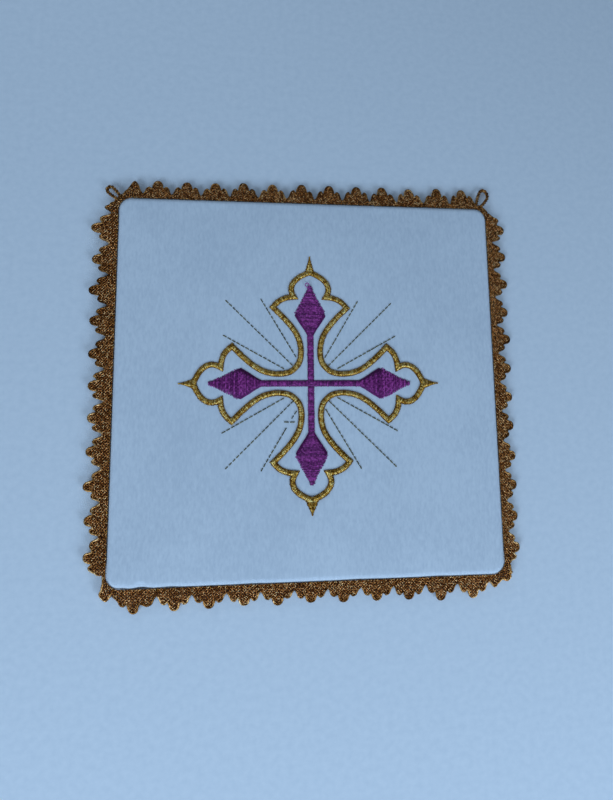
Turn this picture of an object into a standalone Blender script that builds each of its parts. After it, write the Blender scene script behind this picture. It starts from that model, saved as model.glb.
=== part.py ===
"""Chalice pall: a stiff cloth square with a scalloped gold lace edging and an embroidered cross.

Units are metres and +Z is up. The embroidered face looks up, the flat underside lies at height zero,
and the origin is the middle of the underside. +Y is the top of the cross.
"""
import math
import random

import bmesh
import bpy

MM = 0.001
FULL_TURN = 2 * math.pi
QUARTER_TURN = math.pi / 2

# Driving dimensions of the stiff square
PANEL_SIDE = 150 * MM
PANEL_THICKNESS = 5 * MM
CORNER_RADIUS = 5 * MM
LEAST_CORNER_RADIUS = 3.4 * MM
UPPER_ROUND = 2.2 * MM
LOWER_ROUND = 1.2 * MM
CROWN = 0.4 * MM
CROWN_REACH = 18 * MM
ROUND_STEPS = 4
CROWN_STEPS = 3
CORNER_STEPS = 8
SIDE_STEPS = 10

# Driving dimensions of the lace
CLEARANCE = 0.3 * MM
HEADING_HEIGHT = 3 * MM
LACE_HALF_THICKNESS = 0.5 * MM
DIMPLE_HALF_THICKNESS = 0.25 * MM
DIMPLE_SHARE = 0.5
SCALLOP_GAP = 1.1 * MM
MIDDLE_LOBE_WIDTH = 4.6 * MM
UNEVENNESS_SEED = 12

# Half outlines of the lobe in the middle of a scallop and of the one on a corner.
# Columns: distance from the middle as a share of half the lobe's width, and reach past the heading
# as a share of the lobe's own.
MIDDLE_LOBE_EDGE = (
    (0.0, 1.0),
    (0.4, 0.95),
    (0.72, 0.76),
    (1.0, 0.5),
)
CORNER_LOBE_EDGE = (
    (0.0, 1.0),
    (0.6, 0.95),
    (0.95, 0.8),
    (1.0, 0.14),
)
# The rounded lobe on each side of it. Columns: distance from the scallop's middle as a share of
# half the scallop, and reach past the heading as a share of the middle lobe's.
SIDE_LOBE_EDGE = (
    (0.6, 0.58),
    (0.84, 0.46),
    (1.0, 0.06),
)

# How the lace lies along each side of the square, anticlockwise from the top of the cross.
# Columns: outward direction in quarter turns from +X, heading width, reach of the middle lobes at
# the side's start, middle and end (all mm), how far the lace droops (degrees), the number of
# scallops between the corners, how far the first and the last are from the middle of the corner
# where the side starts (mm), and how much nearer each stands to its own corner than that (mm).
LACE_SIDES = (
    ("top", 1, 2.2, 9.6, 8.9, 7.9, 11.0, 12, 8.3, 134.8, 0.0, 0.0),
    ("left", 2, 3.4, 10.4, 9.7, 8.7, 6.0, 11, 11.9, 136.8, 0.0, 1.3),
    ("bottom", 3, 3.2, 9.0, 8.0, 9.6, 11.0, 11, 10.6, 136.4, 2.1, 0.0),
    ("right", 0, 2.8, 7.2, 8.0, 9.1, 12.0, 12, 9.1, 140.9, 0.0, 0.0),
)
# The scallop on each corner, at the starts of the sides in the same order.
# Columns: reach and width of its middle lobe (mm), the share of the sides' heading that it has, how
# far the lobe leans to its anticlockwise side for each unit outwards, and how its side lobes before
# and after the corner compare with those of the side.
CORNER_SCALLOPS = (
    ("top right", 10.5, 3.2, 1.0, 0.55, 0.0, 0.0),
    ("top left", 9.6, 3.2, 1.0, 0.0, 1.4, 0.75),
    ("bottom left", 5.6, 4.4, 0.4, 0.25, 0.0, 0.0),
    ("bottom right", 5.4, 3.2, 1.0, 0.0, 0.7, 0.5),
)

# Driving dimensions of the embroidery
SATIN_WIDTH = 2.4 * MM
SATIN_HEIGHT = 0.5 * MM
SATIN_SHOULDER = 0.45
SPLINE_STEPS = 3

# Centre line of the gold satin band on one half of one arm, as three smooth stretches that meet at
# sharp corners. Columns: distance along the arm from the cross's centre, distance to its side (mm).
LOBE_STRETCH = (
    (44.9, 0.0),
    (43.6, 2.9),
    (41.8, 5.5),
    (39.5, 7.1),
    (36.9, 7.3),
    (34.7, 6.3),
)
SHOULDER_STRETCH = (
    (34.7, 6.3),
    (34.3, 9.3),
    (32.9, 12.3),
    (30.4, 14.7),
)
FLARE_STRETCH = (
    (30.4, 14.7),
    (26.7, 10.9),
    (22.4, 7.2),
    (18.3, 4.8),
    (14.0, 3.8),
    (10.4, 3.9),
    (7.8, 4.7),
    (6.1, 6.1),
)
# Outer edge of the pointed finial on the end of each arm, from its tip down to the band (mm)
FINIAL_EDGE = (
    (50.4, 0.0),
    (48.4, 1.0),
    (46.6, 1.9),
)
LONGEST_TIP_MITRE = 1.25

# Half outline of one arm of the purple satin cross.
# Columns: distance along the arm from the cross's centre, half width (mm).
PURPLE_ARM = (
    (39.0, 0.8),
    (35.0, 2.6),
    (31.6, 4.6),
    (28.3, 6.4),
    (25.2, 4.5),
    (22.4, 2.6),
    (20.0, 1.25),
)
PURPLE_BAR_HALF = 1.25 * MM
PURPLE_CREST_SHARE = 0.7


def clear_scene():
    """Remove everything that the file holds at the start."""
    for item in list(bpy.data.objects):
        bpy.data.objects.remove(item, do_unlink=True)


def make_material(name, colour, roughness, metallic):
    """Give a Principled BSDF material of one colour."""
    material = bpy.data.materials.new(name)
    material.use_nodes = True
    shader = material.node_tree.nodes["Principled BSDF"]
    shader.inputs["Base Color"].default_value = (*colour, 1)
    shader.inputs["Roughness"].default_value = roughness
    shader.inputs["Metallic"].default_value = metallic
    return material


def add_object(name, points, faces, material):
    """Make one closed solid from its points and faces, shaded smooth but for its sharp edges."""
    mesh = bpy.data.meshes.new(name)
    mesh.from_pydata(points, [], faces)
    shape = bmesh.new()
    shape.from_mesh(mesh)
    bmesh.ops.recalc_face_normals(shape, faces=shape.faces)
    shape.to_mesh(mesh)
    shape.free()
    mesh.materials.append(material)
    item = bpy.data.objects.new(name, mesh)
    bpy.context.collection.objects.link(item)
    mesh.shade_smooth()
    mesh.set_sharp_from_angle(angle=math.radians(50))
    return item


def strip_faces(first_row, second_row):
    """Join two closed rows of point numbers by a strip of four-sided faces."""
    count = len(first_row)
    faces = []
    for index in range(count):
        following = (index + 1) % count
        faces.append((first_row[index], first_row[following], second_row[following], second_row[index]))
    return faces


# The stiff square

def rounded_square(inset):
    """Outline of the square, moved inwards by the inset, with its corners as arcs."""
    half = PANEL_SIDE / 2 - inset
    radius = max(CORNER_RADIUS - inset, LEAST_CORNER_RADIUS)
    straight = half - radius
    points = []
    for quarter in range(4):
        start = quarter * QUARTER_TURN
        centre_x = straight * (math.cos(start) - math.sin(start))
        centre_y = straight * (math.sin(start) + math.cos(start))
        for step in range(CORNER_STEPS + 1):
            turn = start + QUARTER_TURN * step / CORNER_STEPS
            points.append((centre_x + radius * math.cos(turn), centre_y + radius * math.sin(turn)))
        corner_x, corner_y = points[-1]
        for step in range(1, SIDE_STEPS):
            travel = 2 * straight * step / SIDE_STEPS
            points.append((corner_x - travel * math.cos(start), corner_y - travel * math.sin(start)))
    return points


def panel_profile():
    """Rows of inset and height, from the rim of the underside over the edge to the flat middle."""
    rim_height = PANEL_THICKNESS - CROWN
    rows = []
    for step in range(ROUND_STEPS + 1):
        turn = QUARTER_TURN * step / ROUND_STEPS
        rows.append((LOWER_ROUND * (1 - math.sin(turn)), LOWER_ROUND * (1 - math.cos(turn))))
    for step in range(ROUND_STEPS + 1):
        turn = QUARTER_TURN * step / ROUND_STEPS
        rows.append((UPPER_ROUND * (1 - math.cos(turn)), rim_height - UPPER_ROUND * (1 - math.sin(turn))))
    for step in range(1, CROWN_STEPS + 1):
        share = step / CROWN_STEPS
        rows.append((UPPER_ROUND + CROWN_REACH * share, rim_height + CROWN * math.sin(QUARTER_TURN * share)))
    return rows


def make_panel():
    """The cloth-covered square: front, turned edge and back are one filled solid."""
    points = []
    rows = []
    for inset, height in panel_profile():
        outline = rounded_square(inset)
        rows.append(range(len(points), len(points) + len(outline)))
        points.extend((x, y, height) for x, y in outline)
    faces = [tuple(rows[0]), tuple(rows[-1])]
    for lower, upper in zip(rows, rows[1:]):
        faces.extend(strip_faces(lower, upper))
    white_cloth = make_material("white_cloth", (0.86, 0.87, 0.88), 0.85, 0.0)
    return add_object("panel", points, faces, white_cloth)


# The lace edging

RAIL_HALF = PANEL_SIDE / 2 + CLEARANCE
RAIL_RADIUS = CORNER_RADIUS + CLEARANCE
RAIL_STRAIGHT = 2 * (RAIL_HALF - RAIL_RADIUS)
RAIL_ARC = QUARTER_TURN * RAIL_RADIUS
RAIL_QUARTER = RAIL_STRAIGHT + RAIL_ARC


def rail(distance):
    """Point and outward turn on the line where the lace meets the square.

    The distance runs anticlockwise from the middle of the corner between +X and +Y.
    """
    quarter, travel = divmod(distance % (4 * RAIL_QUARTER), RAIL_QUARTER)
    corner = RAIL_HALF - RAIL_RADIUS
    past_arc = travel - RAIL_ARC / 2
    turn = QUARTER_TURN
    if past_arc < 0:
        turn = QUARTER_TURN / 2 + travel / RAIL_RADIUS
        x = corner + RAIL_RADIUS * math.cos(turn)
        y = corner + RAIL_RADIUS * math.sin(turn)
    elif past_arc <= RAIL_STRAIGHT:
        x = corner - past_arc
        y = RAIL_HALF
    else:
        turn = QUARTER_TURN + (past_arc - RAIL_STRAIGHT) / RAIL_RADIUS
        x = -corner + RAIL_RADIUS * math.cos(turn)
        y = corner + RAIL_RADIUS * math.sin(turn)
    swing = quarter * QUARTER_TURN
    return (
        x * math.cos(swing) - y * math.sin(swing),
        x * math.sin(swing) + y * math.cos(swing),
        turn + swing,
    )


def lace_sizes(distance):
    """Heading, reach of the middle lobe and droop of the lace at a distance along the rail."""
    x, y, turn = rail(distance)
    heading = reach = droop = 0
    for _side, quarter, heading_mm, start_mm, middle_mm, end_mm, droop_deg, *_scallops in LACE_SIDES:
        facing = quarter * QUARTER_TURN
        share = max(0, math.cos(turn - facing)) ** 2
        along = (y * math.cos(facing) - x * math.sin(facing)) / RAIL_HALF
        end_reach = end_mm if along > 0 else start_mm
        heading += share * heading_mm * MM
        reach += share * (middle_mm + (end_reach - middle_mm) * abs(along)) * MM
        droop += share * math.radians(droop_deg)
    return heading, reach, droop


class LaceSheet:
    """The lace as one sheet with a top point and a bottom point at each place."""

    def __init__(self):
        self.points = []
        self.top_faces = []
        self.edge_use = {}

    def add(self, distance, across, outwards, droop, half_thickness):
        """Add a place: outwards from the rail at a distance, moved across by a length."""
        x, y, turn = rail(distance)
        level = outwards * math.cos(droop)
        height = HEADING_HEIGHT - outwards * math.sin(droop)
        x += level * math.cos(turn) - across * math.sin(turn)
        y += level * math.sin(turn) + across * math.cos(turn)
        self.points.append((x, y, height + half_thickness))
        self.points.append((x, y, height - half_thickness))
        return len(self.points) - 2

    def face(self, *places):
        """Add a face of the sheet, its places in anticlockwise order seen from above."""
        self.top_faces.append(places)
        for start, end in zip(places, places[1:] + places[:1]):
            self.edge_use[(start, end)] = True

    def closed_faces(self):
        """Top, underside and the walls along each edge that only one face has."""
        faces = list(self.top_faces)
        faces.extend(tuple(place + 1 for place in reversed(places)) for places in self.top_faces)
        for start, end in self.edge_use:
            if (end, start) not in self.edge_use:
                faces.append((start, start + 1, end + 1, end))
        return faces


def middle_lobe_edge(half_edge, width):
    """Whole outline of a middle lobe: distances from its middle and shares of its reach."""
    half = [(share * width / 2, reach_share) for share, reach_share in half_edge]
    return [(-across, reach_share) for across, reach_share in reversed(half[1:])] + half


def add_column(sheet, root, frame, across, heading, reach, droop, lean):
    """Add the places of the lace from its root on the rail out to its edge.

    The root is a distance along the rail. The frame is the distance whose outward direction the
    lobe follows, and the column stands across from it.
    """
    dimple = heading + DIMPLE_SHARE * (reach - heading)
    return [
        sheet.add(root, 0, 0, droop, LACE_HALF_THICKNESS),
        sheet.add(root, 0, heading, droop, LACE_HALF_THICKNESS),
        sheet.add(frame, across + lean * dimple, dimple, droop, DIMPLE_HALF_THICKNESS),
        sheet.add(frame, across + lean * reach, reach, droop, LACE_HALF_THICKNESS),
    ]


def scallop_rooms():
    """Each scallop's place along the rail, its room before and after that, and its corner if any."""
    rooms = []
    for side, (*_sizes, count, first_mm, last_mm, back_mm, on_mm) in enumerate(LACE_SIDES):
        start = side * RAIL_QUARTER
        half = (last_mm - first_mm) * MM / (count - 1) / 2
        rooms.append([start, 0, 0, side])
        for number in range(count):
            back = back_mm * MM if number == 0 else 0
            on = on_mm * MM if number == count - 1 else 0
            place = start + first_mm * MM + 2 * half * number - back + on
            rooms.append([place, half + on, half + back, None])
    for index, room in enumerate(rooms):
        place, _before, _after, corner = room
        if corner is not None:
            last, _before, last_room, _corner = rooms[index - 1]
            first, first_room, _after, _corner = rooms[index + 1]
            room[1] = (place - last) % (4 * RAIL_QUARTER) - last_room
            room[2] = first - place - first_room
    return rooms


def make_lace():
    """Scalloped lace: a narrow heading with scallops of three lobes, the middle one the longest."""
    uneven = random.Random(UNEVENNESS_SEED)
    sheet = LaceSheet()
    columns = []
    for centre, room_before, room_after, corner in scallop_rooms():
        heading, reach, droop = lace_sizes(centre)
        droop += math.radians(uneven.uniform(-1, 1))
        middle_reach = reach * uneven.uniform(0.95, 1.05)
        lean = side_lean = uneven.uniform(-0.06, 0.06)
        width, half_edge, side_scales = MIDDLE_LOBE_WIDTH, MIDDLE_LOBE_EDGE, (1, 1)
        if corner is not None:
            half_edge = CORNER_LOBE_EDGE
            _corner, reach_mm, width_mm, heading_share, lean, *side_scales = CORNER_SCALLOPS[corner]
            middle_reach = reach_mm * MM
            width = width_mm * MM
            heading *= heading_share
        side_lobes = []
        for side, room, scale in ((-1, room_before, side_scales[0]), (1, room_after, side_scales[1])):
            side_reach = (reach * uneven.uniform(0.94, 1.06) - heading) * scale
            half_scallop = room - SCALLOP_GAP / 2
            middle = side * (half_scallop + width / 2) / 2
            lobe = []
            for share, reach_share in SIDE_LOBE_EDGE if scale else ():
                offset = side * share * half_scallop
                lobe.append(add_column(
                    sheet, centre + offset, centre + middle, offset - middle,
                    heading, heading + reach_share * side_reach, droop, side_lean,
                ))
            side_lobes.append(lobe)
        columns.extend(reversed(side_lobes[0]))
        root_share = min(1, (min(room_before, room_after) - SCALLOP_GAP / 2) / (width / 2))
        for across, reach_share in middle_lobe_edge(half_edge, width):
            lobe_reach = heading + reach_share * (middle_reach - heading)
            columns.append(add_column(
                sheet, centre + across * root_share, centre, across, heading, lobe_reach, droop, lean,
            ))
        columns.extend(side_lobes[1])
    for column, following in zip(columns, columns[1:] + columns[:1]):
        for row in range(len(column) - 1):
            sheet.face(column[row], column[row + 1], following[row + 1], following[row])
    gold_lace = make_material("gold_lace", (0.42, 0.29, 0.13), 0.4, 0.7)
    return add_object("lace_edging", sheet.points, sheet.closed_faces(), gold_lace)


# The embroidered cross

def smooth_line(rows):
    """Points in metres along a smooth curve through the rows of a stretch."""
    knots = [(along * MM, across * MM) for along, across in rows]
    count = len(knots)
    points = []
    for index in range(count - 1):
        before = knots[max(index - 1, 0)]
        start, end = knots[index], knots[index + 1]
        after = knots[min(index + 2, count - 1)]
        for step in range(SPLINE_STEPS):
            share = step / SPLINE_STEPS
            points.append(tuple(
                0.5 * (
                    2 * start[axis]
                    + (end[axis] - before[axis]) * share
                    + (2 * before[axis] - 5 * start[axis] + 4 * end[axis] - after[axis]) * share ** 2
                    + (3 * start[axis] - before[axis] - 3 * end[axis] + after[axis]) * share ** 3
                )
                for axis in (0, 1)
            ))
    points.append(knots[-1])
    return points


def half_arm_line():
    """Centre line of the gold band on one half arm, from the finial to the inner corner."""
    line = smooth_line(LOBE_STRETCH)
    line.extend(smooth_line(SHOULDER_STRETCH)[1:])
    line.extend(smooth_line(FLARE_STRETCH)[1:])
    return line


def on_arm(point, arm, side):
    """Turn a point on the first arm's half to its place on an arm and side of the whole cross."""
    along, across = point[0], point[1] * side
    turn = arm * QUARTER_TURN
    return (
        along * math.cos(turn) - across * math.sin(turn),
        along * math.sin(turn) + across * math.cos(turn),
    )


def whole_outline(half):
    """Closed anticlockwise line round the cross from the line of one half arm."""
    line = []
    for arm in range(4):
        line.extend(on_arm(point, arm, 1) for point in half)
        line.extend(on_arm(point, arm + 1, -1) for point in reversed(half[1:-1]))
    return line


def band_edges(line, width):
    """Outer and inner edges of a band along a closed line, mitred at its corners."""
    outer, inner = [], []
    count = len(line)
    for index, (x, y) in enumerate(line):
        before_x, before_y = line[index - 1]
        after_x, after_y = line[(index + 1) % count]
        turn_in = math.atan2(y - before_y, x - before_x)
        turn_out = math.atan2(after_y - y, after_x - x)
        bend = (turn_out - turn_in + math.pi) % FULL_TURN - math.pi
        normal = turn_in + bend / 2 - QUARTER_TURN
        reach = width / 2 / math.cos(bend / 2)
        tip_reach = min(reach, width / 2 * LONGEST_TIP_MITRE) if bend > 0 else reach
        outer.append((x + tip_reach * math.cos(normal), y + tip_reach * math.sin(normal)))
        inner.append((x - reach * math.cos(normal), y - reach * math.sin(normal)))
    return outer, inner


def blend(first, second, share):
    """Point part of the way from one point to another."""
    return tuple(a + (b - a) * share for a, b in zip(first, second))


def make_gold_outline():
    """Raised gold satin band round the cross, with a pointed finial on each arm."""
    line = whole_outline(half_arm_line())
    outer, inner = band_edges(line, SATIN_WIDTH)
    per_arm = len(line) // 4
    for arm in range(4):
        for row, (along, across) in enumerate(FINIAL_EDGE):
            tip = (along * MM, across * MM)
            outer[(arm * per_arm + row) % len(line)] = on_arm(tip, arm, 1)
            outer[(arm * per_arm - row) % len(line)] = on_arm(tip, arm, -1)
    floor = PANEL_THICKNESS + CLEARANCE
    crest = floor + SATIN_HEIGHT
    points, rows = [], []
    shoulder = SATIN_SHOULDER / 2
    for share, height in ((0, floor), (shoulder, crest), (1 - shoulder, crest), (1, floor)):
        rows.append(range(len(points), len(points) + len(line)))
        points.extend((*blend(a, b, share), height) for a, b in zip(outer, inner))
    faces = []
    for first, second in zip(rows, rows[1:] + rows[:1]):
        faces.extend(strip_faces(first, second))
    gold_thread = make_material("gold_thread", (0.45, 0.34, 0.12), 0.4, 0.6)
    return add_object("embroidery_gold_outline", points, faces, gold_thread)


def purple_edge(width_share):
    """Closed anticlockwise outline of the purple cross, with its widths scaled by a share."""
    half = [(along * MM, width * MM * width_share) for along, width in PURPLE_ARM]
    inner_corner = (PURPLE_BAR_HALF * width_share, PURPLE_BAR_HALF * width_share)
    edge = []
    for arm in range(4):
        edge.extend(on_arm(point, arm, -1) for point in reversed(half))
        edge.extend(on_arm(point, arm, 1) for point in half)
        edge.append(on_arm(inner_corner, arm, 1))
    return edge


def make_purple_cross():
    """Raised purple satin cross with a lozenge on the end of each arm."""
    floor = PANEL_THICKNESS + CLEARANCE
    crest = floor + SATIN_HEIGHT
    points = [(x, y, floor) for x, y in purple_edge(1)]
    lower = range(len(points))
    points.extend((x, y, crest) for x, y in purple_edge(PURPLE_CREST_SHARE))
    upper = range(len(lower), len(points))
    faces = [tuple(lower), tuple(upper)]
    faces.extend(strip_faces(lower, upper))
    purple_thread = make_material("purple_thread", (0.16, 0.035, 0.2), 0.5, 0.0)
    return add_object("embroidery_purple_cross", points, faces, purple_thread)


def main():
    clear_scene()
    make_panel()
    make_lace()
    make_gold_outline()
    make_purple_cross()


main()
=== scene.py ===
"""Looks of the chalice pall: its cloth, its gold lace of twisted cord and its satin-stitched cross.

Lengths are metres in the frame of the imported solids: +Z out of the embroidered face, +Y towards the
top of the cross, and the origin in the middle of the flat underside.
"""

import math
import random

import bpy
import numpy as np
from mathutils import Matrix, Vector, noise


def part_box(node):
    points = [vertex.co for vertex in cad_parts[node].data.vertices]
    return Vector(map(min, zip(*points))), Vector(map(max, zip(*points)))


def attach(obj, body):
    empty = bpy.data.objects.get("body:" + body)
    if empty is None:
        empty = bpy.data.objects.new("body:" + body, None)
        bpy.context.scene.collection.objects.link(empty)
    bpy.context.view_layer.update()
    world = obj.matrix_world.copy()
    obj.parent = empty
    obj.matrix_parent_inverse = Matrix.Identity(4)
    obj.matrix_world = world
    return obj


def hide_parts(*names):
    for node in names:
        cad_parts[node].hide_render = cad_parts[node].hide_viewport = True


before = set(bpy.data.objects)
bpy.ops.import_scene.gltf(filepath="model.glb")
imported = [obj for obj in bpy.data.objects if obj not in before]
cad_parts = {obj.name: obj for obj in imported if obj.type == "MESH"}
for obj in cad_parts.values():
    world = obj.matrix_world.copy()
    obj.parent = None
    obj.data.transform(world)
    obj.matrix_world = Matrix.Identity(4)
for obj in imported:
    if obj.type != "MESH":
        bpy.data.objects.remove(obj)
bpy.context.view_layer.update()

MM = 0.001
FULL_TURN = 2 * math.pi
QUARTER_TURN = math.pi / 2
UP = np.array((0.0, 0.0, 1.0))

# Sizes of the stiff square: its side and height come from the frame, its roundings are the solid's
_low, PANEL_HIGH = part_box("panel")
PANEL_HALF = PANEL_HIGH.x
PANEL_TOP = PANEL_HIGH.z
CORNER_RADIUS = 5 * MM
LEAST_CORNER_RADIUS = 3.4 * MM
UPPER_ROUND = 2.2 * MM
LOWER_ROUND = 1.2 * MM
CROWN = 0.4 * MM
CROWN_REACH = 18 * MM
CLOTH_CELLS = 74
ROUND_STEPS = 8

# Sizes of the lace, as on its solid
CLEARANCE = 0.3 * MM
HEADING_HEIGHT = 3 * MM
DIMPLE_SHARE = 0.5
SCALLOP_GAP = 1.1 * MM
MIDDLE_LOBE_WIDTH = 4.6 * MM
UNEVENNESS_SEED = 12

# Half outlines of the lobe in the middle of a scallop and of the one on a corner.
# Columns: distance from the middle as a share of half the lobe's width, and reach past the heading
# as a share of the lobe's own.
MIDDLE_LOBE_EDGE = ((0.0, 1.0), (0.4, 0.96), (0.76, 0.8), (1.0, 0.44))
CORNER_LOBE_EDGE = ((0.0, 1.0), (0.6, 0.95), (0.95, 0.8), (1.0, 0.14))
# The rounded lobe on each side of the middle one. Columns: distance from the scallop's middle as a
# share of half the scallop, and reach past the heading as a share of the middle lobe's.
SIDE_LOBE_EDGE = ((0.6, 0.58), (0.84, 0.46), (1.0, 0.06))

# How the lace lies along each side of the square, anticlockwise from the top of the cross.
# Columns: outward direction in quarter turns from +X, heading width, reach of the middle lobes at
# the side's start, middle and end (all mm), how far the lace droops (degrees), the number of
# scallops between the corners, how far the first and the last are from the middle of the corner
# where the side starts (mm), and how much nearer each stands to its own corner than that (mm).
LACE_SIDES = (
    ("top", 1, 2.2, 9.6, 8.9, 7.9, 11.0, 12, 8.3, 134.8, 0.0, 0.0),
    ("left", 2, 3.4, 10.4, 9.7, 8.7, 6.0, 11, 11.9, 136.8, 0.0, 1.3),
    ("bottom", 3, 3.2, 9.0, 8.0, 9.6, 11.0, 11, 10.6, 136.4, 2.1, 0.0),
    ("right", 0, 2.8, 7.2, 8.0, 9.1, 12.0, 12, 9.1, 140.9, 0.0, 0.0),
)
# The scallop on each corner, at the starts of the sides in the same order.
# Columns: reach and width of its middle lobe (mm), the share of the sides' heading that it has, how
# far the lobe leans to its anticlockwise side for each unit outwards, how its side lobes before and
# after the corner compare with those of the side, and the open loop in place of the middle lobe: its
# width, how far its root is to the anticlockwise side of the corner (mm), and how far it leans for
# each unit outwards. The width is none for a filled lobe.
CORNER_SCALLOPS = (
    ("top right", 10.5, 3.2, 1.0, 0.55, 0.0, 0.0, 5.8, 2.8, 0.26),
    ("top left", 9.6, 3.2, 1.0, 0.0, 1.4, 0.75, 4.3, 0.0, 0.0),
    ("bottom left", 5.6, 4.4, 0.4, 0.25, 0.0, 0.0, None, 0.0, 0.0),
    ("bottom right", 5.4, 3.2, 1.0, 0.0, 0.7, 0.5, None, 0.0, 0.0),
)

# Sizes of the embroidery
SATIN_WIDTH = 2.4 * MM
SATIN_RISE = 0.85 * MM
THREAD_RADIUS = 0.2 * MM
GOLD_PITCH = 0.34 * MM
PURPLE_PITCH = 0.46 * MM
NEEDLE_DEPTH = 0.2 * MM

# Centre line of the gold satin band on one half of one arm, as three smooth stretches that meet at
# sharp corners. Columns: distance along the arm from the cross's centre, distance to its side (mm).
LOBE_STRETCH = ((44.9, 0.0), (43.6, 2.9), (41.8, 5.5), (39.5, 7.1), (36.9, 7.3), (34.7, 6.3))
SHOULDER_STRETCH = ((34.7, 6.3), (34.3, 9.3), (32.9, 12.3), (30.4, 14.7))
FLARE_STRETCH = (
    (30.4, 14.7), (26.7, 10.9), (22.4, 7.2), (18.3, 4.8),
    (14.0, 3.8), (10.4, 3.9), (7.8, 4.7), (6.1, 6.1),
)
LONGEST_TIP_MITRE = 1.25
# Finials. Columns: quarter turns from +X, where the stitches start and the tip is (mm along the
# arm), half width at the start, and half width half way to the tip (mm).
FINIALS = (
    ("right", 0, 45.0, 50.6, 2.4, 1.0),
    ("top", 1, 45.0, 51.3, 2.0, 1.0),
    ("left", 2, 45.0, 50.4, 2.2, 0.9),
    ("bottom", 3, 43.9, 50.5, 3.2, 1.7),
)
# Half outline of one arm of the purple satin cross.
# Columns: distance along the arm from the cross's centre, half width (mm).
PURPLE_ARM = (
    (39.0, 0.8), (35.0, 2.6), (31.6, 4.6), (28.3, 6.4),
    (25.2, 4.5), (22.4, 2.6), (20.0, 1.25), (0.0, 1.25),
)
# Rays of running stitch in each quarter. Columns: start x and y, end x and y (mm).
RAYS = (
    (10.2, 5.6, 34.3, 19.2),
    (6.7, 6.7, 33.3, 33.2),
    (5.5, 10.0, 19.5, 33.9),
)


# Threads and meshes

# Thickness of a thread at its very end, as a share of its own
THREAD_END_SHARE = 0.5


def step_lengths(route):
    return np.linalg.norm(np.diff(route, axis=0), axis=1)


def travels(steps):
    """How far along a route each of its points is, from the lengths of its steps."""
    return np.concatenate(([0.0], np.cumsum(steps)))


def turned(x, y, quarters):
    """A place turned anticlockwise round the middle by quarter turns."""
    for _turn in range(quarters):
        x, y = -y, x
    return x, y


def directions(route):
    """Unit vectors along a route at each of its points."""
    along = np.gradient(route, axis=0)
    return along / np.linalg.norm(along, axis=1)[:, None]


def spaced(route, step):
    """The route with its points spread evenly, about one step apart."""
    route = np.asarray(route, float)
    lengths = travels(step_lengths(route))
    count = max(2, round(lengths[-1] / step) + 1)
    places = np.linspace(0, lengths[-1], count)
    return np.stack([np.interp(places, lengths, column) for column in route.T], axis=1)


def smooth_line(knots, steps, straight_ends=False):
    """A smooth line through places, which may leave its two ends straight."""
    knots = np.asarray(knots, float)
    first, last = knots[0], knots[-1]
    if straight_ends:
        first, last = 2 * first - knots[1], 2 * last - knots[-2]
    padded = np.vstack((first, knots, last))
    points = []
    for index in range(len(knots) - 1):
        before, start, end, after = padded[index:index + 4]
        for share in np.arange(steps) / steps:
            points.append(0.5 * (
                2 * start
                + (end - before) * share
                + (2 * before - 5 * start + 4 * end - after) * share ** 2
                + (3 * start - before - 3 * end + after) * share ** 3
            ))
    points.append(knots[-1])
    return np.array(points)


def quads(*corners):
    """Faces from four grids of point numbers, one grid for each corner."""
    return np.stack(corners, axis=-1).reshape(-1, 4).tolist()


def closed_band(numbers):
    """Faces between rings of points, the last of which meets the first."""
    following = np.roll(numbers, -1, axis=0)
    return quads(numbers, np.roll(numbers, -1, axis=1), np.roll(following, -1, axis=1), following)


class Threads:
    """Many threads gathered into one mesh, each a closed tube round its own route."""

    def __init__(self, sides):
        self.sides = sides
        self.points = []
        self.faces = []
        self.tints = []
        self.count = 0

    def add(self, route, radius, tint, lay=None, ridge=0.0):
        """Add a tube. A lay gives it the ridges of two strands twisted once round in that length."""
        route = np.asarray(route, float)
        along = directions(route)
        side = np.cross(UP, along)
        side /= np.linalg.norm(side, axis=1)[:, None]
        rise = np.cross(along, side)
        turns = FULL_TURN * np.arange(self.sides) / self.sides
        radii = np.full((len(route), self.sides), float(radius))
        if lay:
            travel = travels(step_lengths(route))
            wind = turns[None, :] - FULL_TURN * travel[:, None] / lay
            radii *= 1 + ridge * np.cos(2 * wind)
        radii[[0, -1]] *= THREAD_END_SHARE
        rings = (
            route[:, None, :]
            + side[:, None, :] * (radii * np.cos(turns))[:, :, None]
            + rise[:, None, :] * (radii * np.sin(turns))[:, :, None]
        )
        self.add_rings(rings, tint)

    def add_rings(self, rings, tint):
        """Add a closed tube from its rings, which turn anticlockwise seen from its end."""
        numbers = self.add_points(rings, tint)
        beside = np.roll(numbers, -1, axis=1)
        self.faces.extend(quads(numbers[:-1], beside[:-1], beside[1:], numbers[1:]))
        self.faces.append(numbers[0][::-1].tolist())
        self.faces.append(numbers[-1].tolist())

    def add_points(self, rings, tint):
        """Add the points of rings, and give their numbers in the mesh."""
        numbers = self.count + np.arange(rings.size // 3).reshape(rings.shape[:2])
        self.points.append(rings.reshape(-1, 3))
        self.tints.append(np.full(numbers.size, tint, np.float32))
        self.count += numbers.size
        return numbers

    def build(self, name, material):
        """Make the piece, which rides on the pall's one body."""
        points = np.concatenate(self.points)
        piece = add_piece(name, points, self.faces, material)
        tint = piece.data.attributes.new("tint", "FLOAT", "POINT")
        tint.data.foreach_set("value", np.concatenate(self.tints))
        return piece


def add_object(name, data):
    made = bpy.data.objects.new(name, data)
    bpy.context.scene.collection.objects.link(made)
    return made


def add_piece(name, points, faces, material):
    """Make one smooth piece of the object from its points and faces."""
    mesh = bpy.data.meshes.new(name)
    mesh.from_pydata([tuple(point) for point in points], [], faces)
    mesh.materials.append(material)
    mesh.shade_smooth()
    piece = add_object(name, mesh)
    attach(piece, "root")
    return piece


# Finishes

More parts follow.
